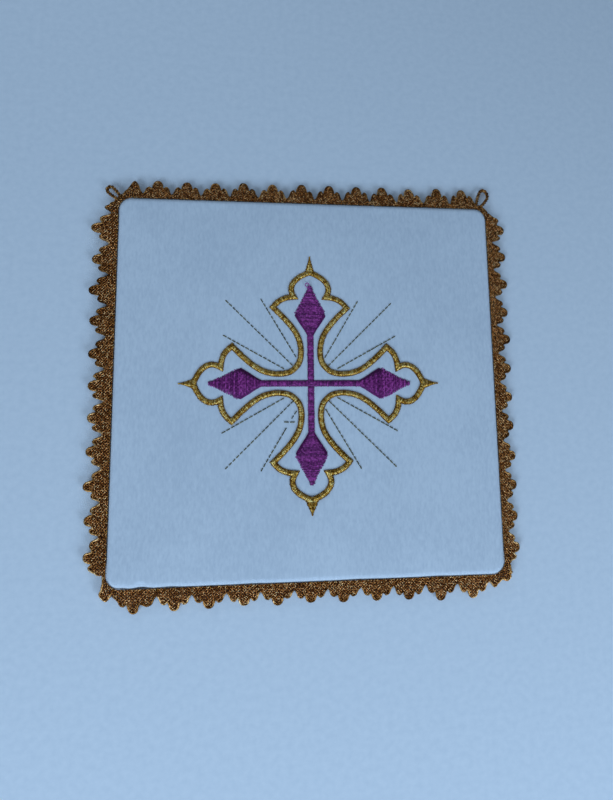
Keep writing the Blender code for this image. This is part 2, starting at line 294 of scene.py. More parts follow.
# The weave. Its scales count features in each metre, those of the slubs along each axis.
SLUB_SCALES = (1100, 420, 500)
SLUB_SHARE = 0.6
BROAD_SCALE = 28.0
WEAVE_SCALE = 800.0
WEAVE_DISTORTION = 0.4
WEAVE_SHARE = 0.25
WEAVE_RELIEF = 0.06 * MM
CLOTH_COLOURS = ((0.36, (0.755, 0.78, 0.81)), (0.62, (0.88, 0.895, 0.91)))

# Heights over the cloth between which the painted shade on the stitches' flanks fades out, from
# dark to their own colour. Lower down a stitch has the full painted shade.
FLANK_LOW = 0.15 * MM
FLANK_HIGH = 0.72 * MM

FIBRE_RELIEF = 0.05 * MM
FIBRE_FINENESS = 3
ROUGHNESS_SPREAD = 0.25
ROUGHNESS_DROP = 0.12
RELIEF_STRENGTH = 0.5
FINE_DETAIL = 3.0
BROAD_DETAIL = 2.0

# The kinds of thread. Columns: colours from dark to bright at their places, flecks in each metre,
# how metallic and how rough, how much of its shade a thread has to itself, how much painted shade
# darkens it on its flanks, and its specular level.
THREAD_KINDS = {
    "gold_lace_rim": (
        (
            (0.36, (0.1, 0.032, 0.006)), (0.5, (0.3, 0.115, 0.026)),
            (0.6, (0.72, 0.34, 0.1)), (0.68, (1.0, 0.62, 0.28)),
        ),
        900.0, 1.0, 0.34, 0.2, 0.0, 0.5,
    ),
    "gold_lace_fill": (
        (
            (0.34, (0.22, 0.06, 0.011)), (0.5, (0.6, 0.215, 0.05)),
            (0.6, (0.92, 0.38, 0.11)), (0.68, (1.0, 0.6, 0.26)),
        ),
        1500.0, 1.0, 0.28, 0.4, 0.0, 0.5,
    ),
    # The net's near-black colour is painted shade for the gaps between and under the cords.
    "lace_net_painted_shade": (
        ((0.35, (0.05, 0.02, 0.006)), (0.65, (0.14, 0.055, 0.018))),
        1500.0, 0.4, 0.6, 0.2, 0.0, 0.5,
    ),
    "gold_thread_satin": (
        ((0.38, (0.3, 0.12, 0.015)), (0.5, (0.86, 0.43, 0.06)), (0.62, (1.0, 0.76, 0.28))),
        1500.0, 1.0, 0.34, 0.2, 0.18, 0.5,
    ),
    "purple_thread_satin": (
        ((0.36, (0.13, 0.012, 0.1)), (0.5, (0.32, 0.034, 0.22)), (0.64, (0.66, 0.1, 0.46))),
        1500.0, 0.0, 0.42, 0.2, 0.03, 0.35,
    ),
    "gold_thread_running": (
        ((0.3, (0.05, 0.05, 0.03)), (0.7, (0.3, 0.24, 0.1))),
        1500.0, 0.5, 0.45, 0.2, 0.0, 0.5,
    ),
}


class Finish:
    """A material whose nodes are added one by one round its shader."""

    def __init__(self, name, **shader_values):
        self.material = bpy.data.materials.new(name)
        self.material.use_nodes = True
        self.tree = self.material.node_tree
        self.shader = self.tree.nodes["Principled BSDF"]
        for socket, value in shader_values.items():
            self.shader.inputs[socket.replace("_", " ")].default_value = value
        self.place = self.tree.nodes.new("ShaderNodeTexCoord").outputs["Object"]

    def add(self, kind, inputs=None, **settings):
        """Add a node. Its inputs are values or the outputs of other nodes."""
        node = self.tree.nodes.new("ShaderNode" + kind)
        for setting, value in settings.items():
            setattr(node, setting, value)
        for socket, value in (inputs or {}).items():
            if isinstance(value, bpy.types.NodeSocket):
                self.tree.links.new(value, node.inputs[socket])
            else:
                node.inputs[socket].default_value = value
        return node.outputs[0]

    def math(self, operation, first, second):
        return self.add("Math", {0: first, 1: second}, operation=operation)

    def speckle(self, scale, detail=BROAD_DETAIL, place=None):
        """Noise with that many features in each metre."""
        source = self.place if place is None else place
        return self.add("TexNoise", {"Vector": source, "Scale": scale, "Detail": detail})

    def ramp(self, factor, stops):
        """Colours at their positions along a factor."""
        colours = self.tree.nodes.new("ShaderNodeValToRGB")
        self.tree.links.new(factor, colours.inputs[0])
        elements = colours.color_ramp.elements
        while len(elements) < len(stops):
            elements.new(0.5)
        for element, (position, colour) in zip(elements, stops):
            element.position = position
            element.color = (*colour, 1)
        return colours.outputs[0]

    def join(self, output, socket):
        """Lead an output to the shader."""
        self.tree.links.new(output, self.shader.inputs[socket])

    def relief(self, height, distance):
        """Fine relief too small for the mesh."""
        bump = self.add("Bump", {"Height": height, "Distance": distance, "Strength": RELIEF_STRENGTH})
        self.join(bump, "Normal")


def cloth_finish():
    """White plain-woven cloth: fine threads both ways, with faint slubs along the warp."""
    cloth = Finish("white_cloth_weave", Roughness=0.8, Sheen_Weight=0.15, Specular_IOR_Level=0.3)
    stretched = cloth.add("Mapping", {"Vector": cloth.place, "Scale": SLUB_SCALES})
    slubs = cloth.speckle(1.0, FINE_DETAIL, stretched)
    slubs_part = cloth.math("MULTIPLY", slubs, SLUB_SHARE)
    broad_part = cloth.math("MULTIPLY", cloth.speckle(BROAD_SCALE), 1 - SLUB_SHARE)
    shade = cloth.math("ADD", slubs_part, broad_part)
    cloth.join(cloth.ramp(shade, CLOTH_COLOURS), "Base Color")
    bands = {"Vector": cloth.place, "Scale": WEAVE_SCALE, "Distortion": WEAVE_DISTORTION}
    warp = cloth.add("TexWave", bands, bands_direction="X")
    weft = cloth.add("TexWave", bands, bands_direction="Y")
    weave = cloth.math("MULTIPLY", cloth.math("ADD", warp, weft), WEAVE_SHARE)
    cloth.relief(cloth.math("ADD", weave, slubs), WEAVE_RELIEF)
    return cloth.material


def thread_finish(kind):
    """Shiny thread, each one a little different, with glints where its fibres turn, and painted shade
    on the flanks of the kinds that have it.
    """
    stops, flecks, metallic, roughness, tint_share, painted_flank_shade, specular = THREAD_KINDS[kind]
    thread = Finish(kind, Metallic=metallic, Specular_IOR_Level=specular)
    tint = thread.add("Attribute", attribute_name="tint").node.outputs["Fac"]
    specks = thread.speckle(flecks, FINE_DETAIL)
    specks_part = thread.math("MULTIPLY", specks, 1 - tint_share)
    shade = thread.math("ADD", specks_part, thread.math("MULTIPLY", tint, tint_share))
    # Painted shade: stitches darken the lower they lie over the cloth, fully so below its face.
    if painted_flank_shade:
        height = thread.add("SeparateXYZ", {"Vector": thread.place}).node.outputs["Z"]
        rise = thread.add("MapRange", {
            "Value": height,
            "From Min": PANEL_TOP + FLANK_LOW,
            "From Max": PANEL_TOP + FLANK_HIGH,
            "To Min": -painted_flank_shade,
            "To Max": 0.0,
        })
        shade = thread.math("ADD", shade, rise)
    thread.join(thread.ramp(shade, stops), "Base Color")
    wear = thread.math("MULTIPLY_ADD", specks, ROUGHNESS_SPREAD)
    wear.node.inputs[2].default_value = roughness - ROUGHNESS_DROP
    thread.join(wear, "Roughness")
    thread.relief(thread.speckle(flecks * FIBRE_FINENESS), FIBRE_RELIEF)
    return thread.material


# The cloth of the stiff square

# Gathers where the cloth turns over the upper edge. Columns: place along the edge, half width,
# depth and length down the face (mm).
TOP_GATHERS = (
    (-36.5, 1.3, 0.5, 6.0),
    (-10.9, 1.1, 0.4, 5.0),
    (29.7, 1.2, 0.45, 5.5),
)
# Ripples where the bottom edge is drawn in. Columns: start, end and depth (mm).
EDGE_RIPPLES = (
    (-73.0, -66.5, 0.3), (-67.0, -58.0, 0.45), (-58.0, -47.0, 0.2),
    (-30.0, -14.0, 0.12), (8.0, 27.0, 0.15), (41.0, 55.0, 0.12),
)
PULL_DEPTH = 0.09 * MM
PULL_REACH = 2.0 * MM
SWELL = 0.12 * MM
SWELL_WIDTH = 30 * MM
SWELL_LAYER = 0.4
# How round the inner rings of cells are at their corners, and how many rings ease off to the rim
RING_ROUNDNESS = 0.8
EASING_RINGS = 3


def outline_point(share, quarter, half, radius):
    """Point and outward turn on a rounded square. The share runs from −1 to 1 along one quarter."""
    straight = half - radius
    travel = share * (straight + radius * QUARTER_TURN / 2)
    turn = math.copysign(max(0.0, abs(travel) - straight) / radius, travel)
    x = straight + radius * math.cos(turn)
    y = max(-straight, min(straight, travel)) + radius * math.sin(turn)
    return *turned(x, y, quarter), turn + quarter * QUARTER_TURN


def ring_place(column, row):
    """Ring, quarter and share along it of a place in the square grid."""
    ring = max(abs(column), abs(row))
    quarter = 0
    while column != ring:
        column, row = row, -column
        quarter += 1
    return ring, quarter, row / max(ring, 1)


def cloth_sag(x, y, line):
    """How far the upper face departs from its even crown at a place."""
    swell = noise.noise(Vector((x / SWELL_WIDTH, y / SWELL_WIDTH, SWELL_LAYER))) * SWELL
    nearest = np.min(np.hypot(line[:, 0] - x, line[:, 1] - y))
    pull = PULL_DEPTH * math.exp(-(nearest / PULL_REACH) ** 2)
    gather = 0.0
    for place, half_width, depth, length in TOP_GATHERS:
        across = (x / MM - place) / half_width
        down = (PANEL_HALF - y) / MM / length
        gather += depth * MM * math.exp(-across ** 2 - down ** 2)
    return swell - pull - gather


def make_cloth(line):
    """The cloth drawn over the square: its face, turned edge and plain back are one closed piece."""
    rim_height = PANEL_TOP - CROWN
    cell = (PANEL_HALF - UPPER_ROUND) / CLOTH_CELLS
    points = []
    for column in range(-CLOTH_CELLS, CLOTH_CELLS + 1):
        for row in range(-CLOTH_CELLS, CLOTH_CELLS + 1):
            ring, quarter, share = ring_place(column, row)
            half = ring * cell
            radius = min(LEAST_CORNER_RADIUS, RING_ROUNDNESS * half)
            x, y, _turn = outline_point(share, quarter, half, radius) if ring else (0.0, 0.0, 0.0)
            inwards = min(1.0, (PANEL_HALF - UPPER_ROUND - half) / CROWN_REACH)
            height = rim_height + CROWN * math.sin(QUARTER_TURN * inwards)
            near_edge = min(1.0, (CLOTH_CELLS - ring) / EASING_RINGS)
            points.append((x, y, height + cloth_sag(x, y, line) * near_edge))
    width = 2 * CLOTH_CELLS + 1
    grid = np.arange(width ** 2).reshape(width, width)
    faces = quads(grid[:-1, :-1], grid[1:, :-1], grid[1:, 1:], grid[:-1, 1:])
    outer, shares = [], []
    for quarter in range(4):
        for step in range(-CLOTH_CELLS, CLOTH_CELLS):
            column, row = turned(CLOTH_CELLS, step, quarter)
            outer.append(int(grid[column + CLOTH_CELLS, row + CLOTH_CELLS]))
            shares.append((step / CLOTH_CELLS, quarter))
    profile = []
    turns = np.linspace(0, QUARTER_TURN, ROUND_STEPS + 1)
    for turn in turns[1:]:
        height = rim_height - UPPER_ROUND * (1 - math.cos(turn))
        profile.append((UPPER_ROUND * (1 - math.sin(turn)), height))
    for turn in turns:
        profile.append((LOWER_ROUND * (1 - math.cos(turn)), LOWER_ROUND * (1 - math.sin(turn))))
    for inset, height in profile:
        row = []
        for share, quarter in shares:
            radius = max(CORNER_RADIUS - inset, LEAST_CORNER_RADIUS)
            x, y, _turn = outline_point(share, quarter, PANEL_HALF - inset, radius)
            if quarter == 3:
                y += edge_ripple(x / MM) * MM * min(1.0, height / UPPER_ROUND)
            row.append(len(points))
            points.append((x, y, height))
        faces.extend(zip(row, row[1:] + row[:1], outer[1:] + outer[:1], outer))
        outer = row
    faces.append(outer[::-1])
    piece = add_piece("panel_cloth", points, faces, cloth_finish())
    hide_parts("panel")


def edge_ripple(x_mm):
    """How far the bottom edge is drawn in at a place along it (mm)."""
    drawn = 0.0
    for start, end, depth in EDGE_RIPPLES:
        if start < x_mm < end:
            drawn += depth * math.sin(math.pi * (x_mm - start) / (end - start)) ** 2
    return drawn


# The lace edging

RAIL_HALF = PANEL_HALF + CLEARANCE
RAIL_RADIUS = CORNER_RADIUS + CLEARANCE
RAIL_QUARTER = 2 * (RAIL_HALF - RAIL_RADIUS) + QUARTER_TURN * RAIL_RADIUS
RAIL_LENGTH = 4 * RAIL_QUARTER

LOBE_BLEND = 0.8 * MM
LOBE_STEPS = 5
# How uneven the scallops are: their droop (degrees), the reach of their lobes, and their lean
DROOPS = (-1, 1)
REACHES = (0.95, 1.05)
SIDE_REACHES = (0.94, 1.06)
LEANS = (-0.06, 0.06)

RIM_CORD_RADIUS = 0.38 * MM
RIM_CORD_RISE = 0.08 * MM
CORD_LAY = 1.1 * MM
CORD_RIDGE = 0.2
CORD_STEP = 0.19 * MM
GRAIN_SPACING = 0.6 * MM
GRAIN_LENGTH = 0.98 * MM
GRAIN_RADIUS = 0.23 * MM
GRAIN_RISE = 0.18 * MM
FIRST_GRAIN = 0.3 * MM
GRAIN_SHARES = (-1, -0.4, 0.4, 1)
GRAIN_ARCH = 0.75
# How uneven the crossing cords are: their place and height (mm), turn (radians), length, thickness
GRAIN_SHIFTS = (-0.08, 0.08)
GRAIN_LIFTS = (-0.04, 0.08)
GRAIN_TURNS = (-0.3, 0.3)
GRAIN_LENGTHS = (0.85, 1.1)
GRAIN_RADII = (0.85, 1.15)

GROUND_HALF_THICKNESS = 0.05 * MM
GROUND_STEP = 0.5 * MM
GROUND_FOLD_SHARE = 0.8
GROUND_RING = 8
LOOP_STRAND_RADIUS = 0.4 * MM
LOOP_STRAND_OFFSET = 0.33 * MM
LOOP_LAY = 2.6 * MM
LOOP_STEP = 0.16 * MM
LOOP_PINCH = 0.55
LOOP_TURN_POINTS = 17
LOOP_TINTS = (0.25, 0.5)

WHIP_PITCH = 3.1 * MM
WHIP_RADIUS = 0.11 * MM
WHIP_START = -0.45 * MM
WHIP_SPAN = 1.3 * MM
WHIP_RISE = 0.42 * MM
WHIP_SINK = 0.06 * MM
WHIP_FLATNESS = 0.6
WHIP_POINTS = 7
# How uneven the whip stitches are: their place as a share of the pitch, and their slant (mm)
WHIP_SHIFTS = (-0.15, 0.15)
WHIP_SLANTS = (0.3, 0.6)


def rail(distance):
    """Point and outward turn on the line where the lace meets the square.

    The distance runs anticlockwise from the middle of the corner between +X and +Y.
    """
    quarter, travel = divmod(distance % RAIL_LENGTH, RAIL_QUARTER)
    return outline_point(2 * travel / RAIL_QUARTER - 1, int(quarter) + 1, RAIL_HALF, RAIL_RADIUS)


def lace_sizes(distance):
    """Heading, reach of the middle lobe and droop of the lace at a distance along the rail."""
    x, y, turn = rail(distance)
    heading = reach = droop = 0
    for _side, quarter, heading_mm, start_mm, middle_mm, end_mm, droop_deg, *_scallops in LACE_SIDES:
        facing = quarter * QUARTER_TURN
        share = max(0, math.cos(turn - facing)) ** 2
        along = (y * math.cos(facing) - x * math.sin(facing)) / RAIL_HALF
        end_reach = end_mm if along > 0 else start_mm
        heading += share * heading_mm * MM
        reach += share * (middle_mm + (end_reach - middle_mm) * abs(along)) * MM
        droop += share * math.radians(droop_deg)
    return heading, reach, droop


def lace_point(distance, across, outwards, droop, rise=0.0):
    """A place on the lace: outwards from the rail at a distance, moved across and above it."""
    x, y, turn = rail(distance)
    level = outwards * math.cos(droop)
    return np.array((
        x + level * math.cos(turn) - across * math.sin(turn),
        y + level * math.sin(turn) + across * math.cos(turn),
        HEADING_HEIGHT - outwards * math.sin(droop) + rise,
    ))


def scallop_rooms():
    """Each scallop's place along the rail, its room before and after that, and its corner if any."""
    rooms = []
    for side, (*_sizes, count, first_mm, last_mm, back_mm, on_mm) in enumerate(LACE_SIDES):
        start = side * RAIL_QUARTER
        half = (last_mm - first_mm) * MM / (count - 1) / 2
        rooms.append([start, 0, 0, side])
        for number in range(count):
            back = back_mm * MM if number == 0 else 0
            on = on_mm * MM if number == count - 1 else 0
            place = start + first_mm * MM + 2 * half * number - back + on
            rooms.append([place, half + on, half + back, None])
    for index, room in enumerate(rooms):
        place, _before, _after, corner = room
        if corner is not None:
            last, _before, last_room, _corner = rooms[index - 1]
            first, first_room, _after, _corner = rooms[index + 1]
            room[1] = (place - last) % RAIL_LENGTH - last_room
            room[2] = first - place - first_room
    return rooms


class Scallop:
    """One scallop of three lobes, with its stretch of the heading."""

    def __init__(self, centre, room_before, room_after, corner, uneven):
        self.centre = centre
        self.rooms = (room_before, room_after)
        self.heading, reach, self.droop = lace_sizes(centre)
        self.droop += math.radians(uneven.uniform(*DROOPS))
        self.reach = reach * uneven.uniform(*REACHES)
        self.lean = self.side_lean = uneven.uniform(*LEANS)
        self.width, half_edge, side_scales = MIDDLE_LOBE_WIDTH, MIDDLE_LOBE_EDGE, (1, 1)
        self.loop_width = None
        if corner is not None:
            half_edge = CORNER_LOBE_EDGE
            _corner, reach_mm, width_mm, heading_share, self.lean, *others = CORNER_SCALLOPS[corner]
            side_scales = others[:2]
            self.loop_width, self.loop_shift, self.loop_lean = others[2:]
            self.reach = reach_mm * MM
            self.width = width_mm * MM
            self.heading *= heading_share
        self.middles = []
        knots = [[], [], []]
        for side, room, scale in zip((-1, 1), self.rooms, side_scales):
            side_reach = (reach * uneven.uniform(*SIDE_REACHES) - self.heading) * scale
            half_scallop = room - SCALLOP_GAP / 2
            self.middles.append(side * (half_scallop + self.width / 2) / 2)
            lobe = knots[side + 1]
            for share, reach_share in SIDE_LOBE_EDGE if scale else ():
                lobe.append((side * share * half_scallop, self.heading + reach_share * side_reach))
            lobe.append((side * room, self.heading))
        for share, reach_share in half_edge:
            out = self.heading + reach_share * (self.reach - self.heading) * (not self.loop_width)
            knots[1].append((share * self.width / 2, out))
        mirrored = [(-across, out) for across, out in knots[1][:0:-1]]
        self.edge = smooth_line(knots[0][::-1] + mirrored + knots[1] + knots[2], LOBE_STEPS, True)
        self.edge[:, 0] = np.maximum.accumulate(self.edge[:, 0])
        self.edge[:, 1] = np.maximum(self.edge[:, 1], self.heading)

    def edge_at(self, offset):
        """How far out the lace reaches at an offset along the rail from the scallop's middle."""
        return float(np.interp(offset, self.edge[:, 0], self.edge[:, 1]))

    def place(self, offset, outwards, rise=0.0):
        """Where the lace lies at an offset along the rail and a distance out from it."""
        root = lace_point(self.centre + offset, 0, outwards, self.droop, rise)
        if outwards <= self.heading:
            return root
        across = offset + self.lean * outwards
        spread = lace_point(self.centre, across, outwards, self.droop, rise)
        past_middle = abs(offset) - self.width / 2
        if past_middle > 0:
            middle = self.middles[int(offset > 0)]
            across = offset - middle + self.side_lean * outwards
            side_spread = lace_point(self.centre + middle, across, outwards, self.droop, rise)
            spread += (side_spread - spread) * min(1.0, past_middle / LOBE_BLEND)
        dimple = DIMPLE_SHARE * max(self.edge_at(offset) - self.heading, MM)
        share = min(1.0, (outwards - self.heading) / dimple)
        return root + (spread - root) * share

    def rim(self):
        """Offsets and distances out along the middle of the cord that edges the scallop."""
        line = spaced(self.edge, CORD_STEP)
        along = directions(line)
        inwards = np.stack((along[:, 1], -along[:, 0]), axis=1)
        return line + inwards * RIM_CORD_RADIUS


def lay_out_scallops():
    """Every scallop of the lace, in order anticlockwise."""
    uneven = random.Random(UNEVENNESS_SEED)
    return [Scallop(*room, uneven) for room in scallop_rooms()]


def make_lace_rim(scallops):
    """A thick twisted cord round the edge of each scallop."""
    uneven = random.Random(UNEVENNESS_SEED + 1)
    cords = Threads(sides=6)
    for scallop in scallops:
        route = spaced([scallop.place(*place, RIM_CORD_RISE) for place in scallop.rim()], CORD_STEP)
        cords.add(route, RIM_CORD_RADIUS, uneven.random(), CORD_LAY, CORD_RIDGE)
    piece = cords.build("lace_rim_cords", thread_finish("gold_lace_rim"))
    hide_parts("lace_edging")
    return piece


def grain_route(scallop, offset, out, turn, reach, lift):
    """The arched path of one crossing cord, which stays inside the scallop's rim."""
    before, after = scallop.rooms
    route = []
    for share in GRAIN_SHARES:
        across = min(max(offset + share * reach * math.cos(turn), -before), after)
        farthest = scallop.edge_at(across) - RIM_CORD_RADIUS
        outwards = min(max(0.0, out + share * reach * math.sin(turn)), farthest)
        route.append(scallop.place(across, outwards, lift + GRAIN_RISE * (GRAIN_ARCH - share ** 2)))
    return route


def grain_places(scallop):
    """Column, row and offset along the rail of each crossing cord in a scallop."""
    before, after = scallop.rooms
    columns = round((before + after) / GRAIN_SPACING)
    for column in range(columns):
        offset = (before + after) * (column + 0.5) / columns - before
        depth = scallop.edge_at(offset) - FIRST_GRAIN - RIM_CORD_RADIUS
        for row in range(int(depth / GRAIN_SPACING) + 1):
            yield column, row, offset


def make_lace_grains(scallops):
    """Short crossing loops of thin cord that fill the heading and the lobes, a piece for each side."""
    uneven = random.Random(UNEVENNESS_SEED + 2)
    finish = thread_finish("gold_lace_fill")
    pieces = []
    for side, (name, *_sizes) in enumerate(LACE_SIDES):
        grains = Threads(sides=4)
        for scallop in scallops:
            if not side <= scallop.centre / RAIL_QUARTER < side + 1:
                continue
            for column, row, offset in grain_places(scallop):
                out = FIRST_GRAIN + row * GRAIN_SPACING + uneven.uniform(*GRAIN_SHIFTS) * MM
                crossing = 1 if (row + column) % 2 else -1
                turn = math.pi / 4 * crossing + uneven.uniform(*GRAIN_TURNS)
                shifted = offset + uneven.uniform(*GRAIN_SHIFTS) * MM
                reach = GRAIN_LENGTH / 2 * uneven.uniform(*GRAIN_LENGTHS)
                lift = uneven.uniform(*GRAIN_LIFTS) * MM
                route = grain_route(scallop, shifted, out, turn, reach, lift)
                radius = GRAIN_RADIUS * uneven.uniform(*GRAIN_RADII)
                grains.add(route, radius, uneven.random())
        piece = grains.build("lace_braid_" + name, finish)
        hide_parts("lace_edging")
        pieces.append(piece)
    return pieces


def make_corner_loops(scallops):
    """Open loops of two thick strands twisted together."""
    strands = Threads(sides=8)
    for scallop in scallops:
        if not scallop.loop_width:
            continue
        radius = scallop.loop_width * MM / 2 - LOOP_STRAND_RADIUS * 2
        tip_centre = scallop.reach - scallop.loop_width * MM / 2
        root = scallop.heading / 2
        turns = np.linspace(0, math.pi, LOOP_TURN_POINTS)
        tip = [(-radius * math.cos(turn), tip_centre + radius * math.sin(turn)) for turn in turns]
        line = []
        for across, outwards in spaced([(-radius, root), *tip, (radius, root)], LOOP_STEP):
            up_side = min(1.0, (outwards - root) / (tip_centre - root))
            squeezed = across * (1 - LOOP_PINCH * (1 - up_side) ** 2)
            aside = scallop.loop_shift * MM + scallop.loop_lean * outwards
            line.append(lace_point(scallop.centre, squeezed + aside, outwards, scallop.droop))
        middle = spaced(line, LOOP_STEP)
        along = directions(middle)
        side = np.cross(UP, along)
        rise = np.cross(along, side)
        travel = LOOP_STEP * np.arange(len(middle))
        for strand, tint in enumerate(LOOP_TINTS):
            wind = FULL_TURN * (travel / LOOP_LAY + strand / 2)
            swing = side * np.cos(wind)[:, None] + rise * np.sin(wind)[:, None]
            strands.add(middle + swing * LOOP_STRAND_OFFSET, LOOP_STRAND_RADIUS, tint)
    piece = strands.build("lace_corner_loops", thread_finish("gold_lace_rim"))
    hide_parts("lace_edging")
    return piece


def make_lace_ground(scallops):
    """The thin net under the cords: one closed strip round the square, as deep as each scallop."""
    points = []
    for scallop in scallops:
        before, after = scallop.rooms
        count = round((before + after) / GROUND_STEP)
        for offset in np.linspace(-before, after, count, endpoint=False):
            inner = scallop.heading * GROUND_FOLD_SHARE
            edge = max(scallop.edge_at(offset) - RIM_CORD_RADIUS, inner)
            rows = (0.0, inner, (inner + edge) / 2, edge)
            points.extend(scallop.place(offset, out, GROUND_HALF_THICKNESS) for out in rows)
            points.extend(scallop.place(offset, out, -GROUND_HALF_THICKNESS) for out in rows[::-1])
    faces = closed_band(np.arange(len(points)).reshape(-1, GROUND_RING))
    # Its near-black finish paints shade into the gaps between the cords.
    piece = add_piece("lace_ground", points, faces, thread_finish("lace_net_painted_shade"))
    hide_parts("lace_edging")
    return piece


def make_whip_stitches():
    """The small stitches that hold the heading to the edge of the square."""
    uneven = random.Random(UNEVENNESS_SEED + 6)
    stitches = Threads(sides=5)
    count = round(RAIL_LENGTH / WHIP_PITCH)
    for number in range(count):
        distance = RAIL_LENGTH * (number + uneven.uniform(*WHIP_SHIFTS)) / count
        _heading, _reach, droop = lace_sizes(distance)
        slant = uneven.uniform(*WHIP_SLANTS) * MM
        route = []
        for share in np.linspace(0, 1, WHIP_POINTS):
            out = WHIP_START + WHIP_SPAN * share
            rise = WHIP_RISE * math.sin(math.pi * share) ** WHIP_FLATNESS - WHIP_SINK
            route.append(lace_point(distance + slant * share, 0, out, droop, rise))
        stitches.add(route, WHIP_RADIUS, uneven.random())
    # These lie below the cloth's face, so their finish paints its full flank shade on them.
    return stitches.build("lace_sewing_stitches", thread_finish("gold_thread_satin"))


# The embroidered cross

NEEDLE_HOLE = PANEL_TOP - NEEDLE_DEPTH
OUTLINE_STEPS = 6
ARCH_POINTS = 9
ARCH_FLATNESS = 0.7
SATIN_TOP = SATIN_RISE - THREAD_RADIUS
ZIGZAG_SHARE = 0.9
PAD_RISE = SATIN_RISE - 2.2 * THREAD_RADIUS
PAD_POINTS = 7
PAD_TINT = 0.1
FINIAL_TIP_HALF = 0.2
FINIAL_RISE = 1.05
FINIAL_FALL = 0.55
# How uneven the satin stitches are: their ends as a share of their length, their height (mm) and
# thickness, and the widths and slants (mm) of those on the finials
SATIN_ENDS = (-0.06, 0.06)
SATIN_HEIGHTS = (-0.05, 0.03)
SATIN_RADII = (0.9, 1.1)
FINIAL_WIDTHS = (0.9, 1.1)
FINIAL_SLANTS = (-0.1, 0.1)


def on_arm(point, arm, side):
    """Turn a point on the first arm's half to its place on an arm and side of the whole cross."""
    return turned(point[0], point[1] * side, arm)


def whole_outline():
    """Closed anticlockwise centre line of the gold band, from the lines of its half arms."""
    half = [np.array(LOBE_STRETCH[0]) * MM]
    for stretch in (LOBE_STRETCH, SHOULDER_STRETCH, FLARE_STRETCH):
        half.extend(smooth_line(np.array(stretch) * MM, OUTLINE_STEPS)[1:])
    line = []
    for arm in range(4):
        line.extend(on_arm(point, arm, 1) for point in half)
        line.extend(on_arm(point, arm + 1, -1) for point in reversed(half[1:-1]))
    return line


def band_edges(line, width):
    """Outer and inner edges of a band along a closed line, mitred at its corners."""
    outer, inner = [], []
    count = len(line)
    for index, (x, y) in enumerate(line):
        before_x, before_y = line[index - 1]
        after_x, after_y = line[(index + 1) % count]
        turn_in = math.atan2(y - before_y, x - before_x)
        turn_out = math.atan2(after_y - y, after_x - x)
        bend = (turn_out - turn_in + math.pi) % FULL_TURN - math.pi
        normal = turn_in + bend / 2 - QUARTER_TURN
        reach = width / 2 / math.cos(bend / 2)
        tip_reach = min(reach, width / 2 * LONGEST_TIP_MITRE) if bend > 0 else reach
        outer.append((x + tip_reach * math.cos(normal), y + tip_reach * math.sin(normal)))
        inner.append((x - reach * math.cos(normal), y - reach * math.sin(normal)))
    return np.array(outer), np.array(inner)


def arch(start, end, rise, count=ARCH_POINTS, flatness=ARCH_FLATNESS):
    """A stitch from one needle hole to another, arched over the cloth."""
    shares = np.linspace(0, 1, count)
    route = np.zeros((count, 3))
    route[:, 0] = start[0] + (end[0] - start[0]) * shares
    route[:, 1] = start[1] + (end[1] - start[1]) * shares
    route[:, 2] = NEEDLE_HOLE + (rise + NEEDLE_DEPTH) * np.sin(math.pi * shares) ** flatness
    return route


def add_band(stitches, outer, inner, uneven):
    """Satin stitches back and forth between the edges of the gold band."""
    travel = travels(np.maximum(step_lengths(outer), step_lengths(inner)))
    for index in range(round(travel[-1] / GOLD_PITCH)):
        lead = index * GOLD_PITCH
        trail = lead + GOLD_PITCH * ZIGZAG_SHARE
        starts, ends = (lead, trail) if index % 2 else (trail, lead)
        outside = np.array([np.interp(starts % travel[-1], travel, column) for column in outer.T])
        inside = np.array([np.interp(ends % travel[-1], travel, column) for column in inner.T])
        outside += (outside - inside) * uneven.uniform(*SATIN_ENDS)
        route = arch(outside, inside, SATIN_TOP + uneven.uniform(*SATIN_HEIGHTS) * MM)
        stitches.add(route, THREAD_RADIUS * uneven.uniform(*SATIN_RADII), uneven.random())


def add_finials(stitches, uneven):
    """Satin stitches across the pointed finial on the end of each arm."""
    for _arm, quarter, start_mm, tip_mm, base_half, middle_half in FINIALS:
        rows = round((tip_mm - start_mm) * MM / GOLD_PITCH)
        for row in range(rows):
            share = row / (rows - 1)
            half = base_half * (1 - share) + (middle_half - base_half / 2) * 4 * share * (1 - share)
            half = max(half, FINIAL_TIP_HALF) * uneven.uniform(*FINIAL_WIDTHS) * MM
            along = (start_mm + (tip_mm - start_mm) * share) * MM
            slant = uneven.uniform(*FINIAL_SLANTS) * MM
            start = on_arm((along + slant, half), quarter, 1)
            end = on_arm((along - slant, half), quarter, -1)
            rise = SATIN_TOP * (FINIAL_RISE - FINIAL_FALL * share)
            stitches.add(arch(start, end, rise), THREAD_RADIUS, uneven.random())


def make_gold_stitches(line):
    """The gold outline's satin stitches, over a padding layer, and its finials."""
    uneven = random.Random(UNEVENNESS_SEED + 3)
    stitches = Threads(sides=6)
    outer, inner = band_edges(line, SATIN_WIDTH)
    add_band(stitches, np.vstack((outer, outer[:1])), np.vstack((inner, inner[:1])), uneven)
    add_finials(stitches, uneven)
    pads = np.array([arch(o, i, PAD_RISE, PAD_POINTS) for o, i in zip(outer, inner)])
    stitches.faces.extend(closed_band(stitches.add_points(pads, PAD_TINT).T))
    piece = stitches.build("gold_satin_stitches", thread_finish("gold_thread_satin"))
    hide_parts("embroidery_gold_outline")


